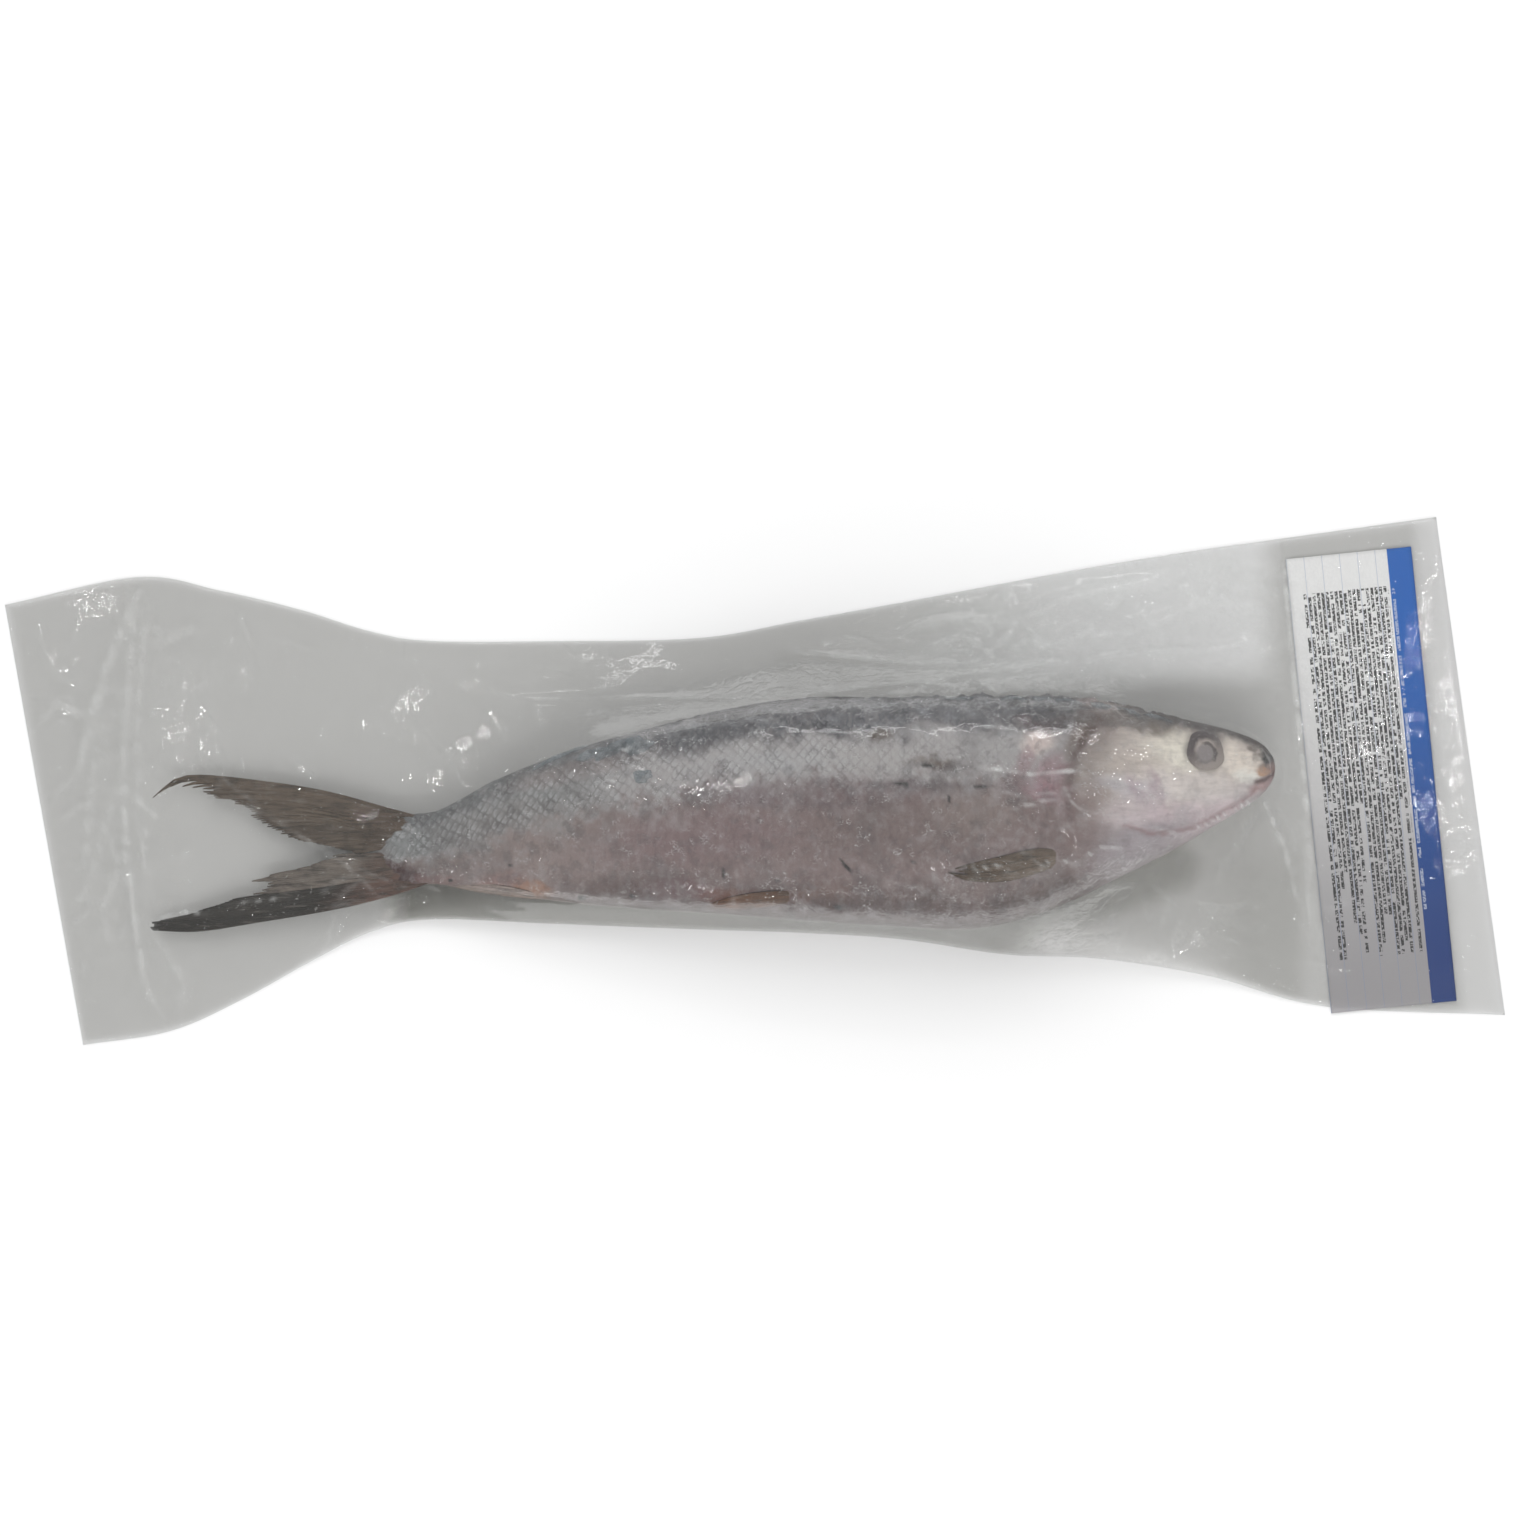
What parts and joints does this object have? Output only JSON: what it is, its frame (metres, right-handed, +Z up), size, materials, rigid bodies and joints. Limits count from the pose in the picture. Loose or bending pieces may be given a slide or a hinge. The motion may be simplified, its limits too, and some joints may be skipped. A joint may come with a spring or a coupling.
{
  "type": "frozen milkfish in a clear film bag",
  "caption": "Whole frozen milkfish lying on its side, sealed in a clear film bag with a plain printed paper label in the end pocket.",
  "frame": {"origin": "on the resting surface, under the middle of the bag's box", "axes": "+X from the fish's tail to its snout, +Y from its belly to its back, +Z up from the surface that the bag lies on"},
  "size_m": [0.69, 0.2428, 0.0582],
  "materials": {
    "fish_skin": "frozen scaly skin, blue-grey back, pink-grey flank, cream cheek, thin frost",
    "eye_tissue": "clouded, glossy",
    "dark_fin": "ribbed brown-black fin skin",
    "belly_fin": "ribbed orange-brown fin skin",
    "clear_film": "clear glossy polyethylene film, creased",
    "label_paper": "matt paper with a blue edge band and rows of plain grey marks"
  },
  "bodies": {
    "root": {"fish_body": "fish_skin", "eye_right": "eye_tissue", "eye_left": "eye_tissue", "tail_fin": "dark_fin", "dorsal_fin": "dark_fin", "anal_fin": "belly_fin", "pectoral_fin_right": "dark_fin", "pectoral_fin_left": "dark_fin", "pelvic_fin_right": "belly_fin", "pelvic_fin_left": "belly_fin", "bag_upper_panel": "clear_film", "bag_lower_panel": "clear_film", "label": "label_paper"}
  },
  "joints": []
}
